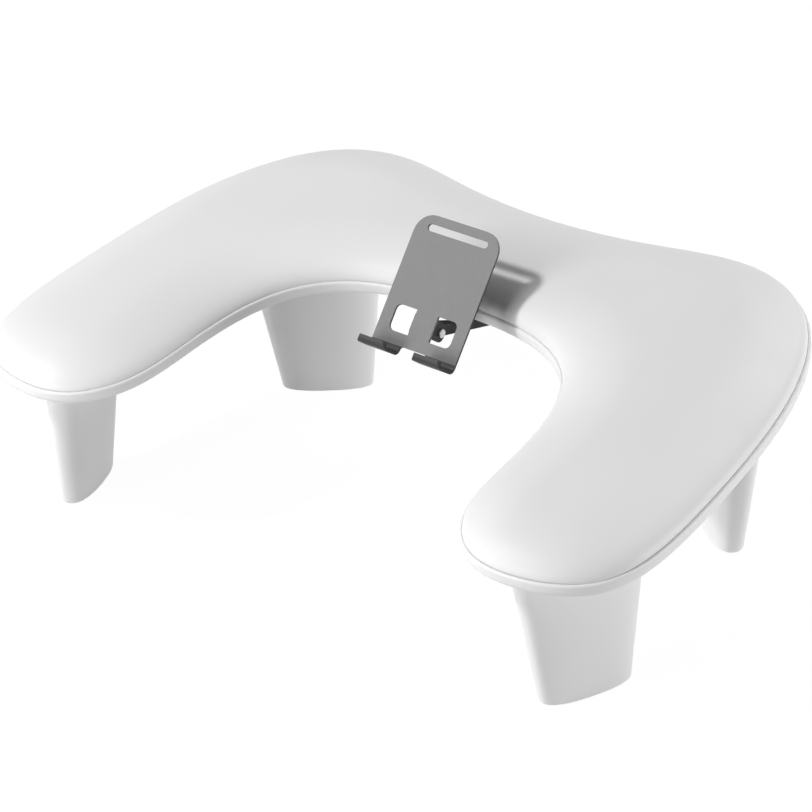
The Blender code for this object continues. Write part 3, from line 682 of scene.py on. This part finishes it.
def zinc_steel():
    zinc = Surface("zinc_steel", grey(0.62), 0.30, 1.0)
    zinc.vary_colour(zinc.noise(400.0, 3.0), grey(0.56), grey(0.66))
    zinc.vary_roughness(zinc.noise(900.0, 3.0), 0.24, 0.38)
    zinc.bump([(zinc.noise(3000.0, 3.0), 0.08, 0.00003)])
    return zinc


def nylon():
    washer = Surface("nylon", (0.80, 0.80, 0.76), 0.50)
    washer.vary_colour(washer.noise(300.0, 3.0), (0.77, 0.77, 0.73), (0.82, 0.82, 0.78))
    washer.vary_roughness(washer.noise(700.0, 3.0), 0.44, 0.58)
    washer.bump([(washer.noise(1500.0, 3.0), 0.10, 0.00005)])
    return washer


def make_surfaces():
    """Each material by the name of its slot, which is its function's name."""
    makers = (white_leather, white_plastic, grey_metal, black_metal, black_rubber, zinc_steel, nylon)
    return {maker.__name__: maker().material for maker in makers}


def dress(piece, surface):
    piece.data.materials.clear()
    piece.data.materials.append(surface)


def soften_edges(piece, width):
    """Round the folded and cut edges of a CAD piece without touching its mesh."""
    weld = piece.modifiers.new("weld", "WELD")
    weld.merge_threshold = WELD_DISTANCE
    flat = piece.modifiers.new("flat", "DECIMATE")
    flat.decimate_type = "DISSOLVE"
    flat.angle_limit = FLAT_ANGLE
    bevel = piece.modifiers.new("bevel", "BEVEL")
    bevel.width = width
    bevel.segments = SOFT_EDGE_SEGMENTS
    bevel.limit_method = "ANGLE"
    bevel.angle_limit = SOFT_EDGE_ANGLE
    bevel.harden_normals = True


def background_rays(tree):
    """1 for camera, glossy and transmission rays, which see the floor and the world as white."""
    path = tree.nodes.new("ShaderNodeLightPath")
    seen = path.outputs["Is Camera Ray"]
    for kind in ("Is Glossy Ray", "Is Transmission Ray"):
        either = tree.nodes.new("ShaderNodeMath")
        either.operation = "MAXIMUM"
        tree.links.new(seen, either.inputs[0])
        tree.links.new(path.outputs[kind], either.inputs[1])
        seen = either.outputs[0]
    return seen


def mix_shaders(tree, share, first, second):
    mix = tree.nodes.new("ShaderNodeMixShader")
    tree.links.new(share, mix.inputs["Fac"])
    tree.links.new(first, mix.inputs[1])
    tree.links.new(second, mix.inputs[2])
    return mix.outputs[0]


def floor_material():
    """A pale floor, seen as white, that keeps a faint shadow of the object."""
    material = bpy.data.materials.new("floor")
    material.use_nodes = True
    tree = material.node_tree
    tree.nodes.clear()
    diffuse = tree.nodes.new("ShaderNodeBsdfDiffuse")
    diffuse.inputs["Color"].default_value = (*grey(FLOOR_GREY), 1.0)
    glow = tree.nodes.new("ShaderNodeEmission")
    glow.inputs["Strength"].default_value = FLOOR_GLOW
    share = tree.nodes.new("ShaderNodeMath")
    share.operation = "MULTIPLY"
    share.inputs[1].default_value = FLOOR_GLOW_SHARE
    tree.links.new(background_rays(tree), share.inputs[0])
    out = tree.nodes.new("ShaderNodeOutputMaterial")
    shader = mix_shaders(tree, share.outputs[0], diffuse.outputs[0], glow.outputs[0])
    tree.links.new(shader, out.inputs["Surface"])
    return material


def floor():
    mesh = bpy.data.meshes.new("floor")
    corners = [(x * FLOOR_HALF_SIZE, y * FLOOR_HALF_SIZE, FLOOR_LEVEL) for x, y in CORNER_SIGNS]
    mesh.from_pydata(corners, [], [(0, 1, 2, 3)])
    mesh.materials.append(floor_material())
    made = bpy.data.objects.new("floor", mesh)
    bpy.context.collection.objects.link(made)


def background(tree, strength):
    made = tree.nodes.new("ShaderNodeBackground")
    made.inputs["Color"].default_value = (1.0, 1.0, 1.0, 1.0)
    made.inputs["Strength"].default_value = strength
    return made.outputs[0]


def world():
    """A weak even light on the object, seen as white."""
    made = bpy.data.worlds.new("studio")
    made.use_nodes = True
    bpy.context.scene.world = made
    tree = made.node_tree
    tree.nodes.clear()
    out = tree.nodes.new("ShaderNodeOutputWorld")
    light, white = background(tree, WORLD_LIGHT), background(tree, WORLD_WHITE)
    tree.links.new(mix_shaders(tree, background_rays(tree), light, white), out.inputs["Surface"])


def lamp(name, towards, distance, size, power):
    """A disc lamp that shines on the object from a direction."""
    data = bpy.data.lights.new(name, "AREA")
    data.shape = "DISK"
    data.size = size
    data.energy = power
    made = bpy.data.objects.new(name, data)
    bpy.context.collection.objects.link(made)
    way = Vector(towards).normalized()
    made.location = Vector(LAMP_CENTRE) + way * distance
    made.rotation_mode = "QUATERNION"
    made.rotation_quaternion = (-way).to_track_quat("-Z", "Y")
    made.visible_camera = False


def camera():
    """The camera at the photograph's angle, turned a little about its own line of sight."""
    back = Vector((
        math.sin(CAMERA_AZIMUTH) * math.cos(CAMERA_ELEVATION),
        -math.cos(CAMERA_AZIMUTH) * math.cos(CAMERA_ELEVATION),
        math.sin(CAMERA_ELEVATION),
    ))
    level = Vector((math.cos(CAMERA_AZIMUTH), math.sin(CAMERA_AZIMUTH), 0.0))
    up = back.cross(level)
    right = math.cos(CAMERA_ROLL) * level + math.sin(CAMERA_ROLL) * up
    up = back.cross(right)
    data = bpy.data.cameras.new("camera")
    data.sensor_width = CAMERA_SENSOR
    data.lens = CAMERA_LENS
    made = bpy.data.objects.new("camera", data)
    bpy.context.collection.objects.link(made)
    place = Matrix((right, up, back)).transposed().to_4x4()
    place.translation = Vector(CAMERA_TARGET) + back * CAMERA_DISTANCE
    made.matrix_world = place
    bpy.context.scene.camera = made


camera()
surfaces = make_surfaces()
outline = seam_outline()

base = moulded_base(outline)
dress(base, surfaces["white_plastic"])
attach(base, "armrest")
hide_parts("base_shell")

pad = cushion_pad(outline, padding_centres(outline))
swell(pad)
dress(pad, surfaces["white_leather"])
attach(pad, "armrest")
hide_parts("cushion_cover", "cushion_foam", "cushion_board")

slots = {entry["node"]: entry["material_slot"] for entry in frame["record"]["subparts"]}
for name, node in nodes.items():
    if not node.hide_render:
        dress(node, surfaces[slots[name]])
for name, width in SOFT_EDGES.items():
    soften_edges(nodes[name], width)

floor()
world()
for values in LAMPS:
    lamp(*values)

bpy.context.scene.view_settings.view_transform = "Standard"
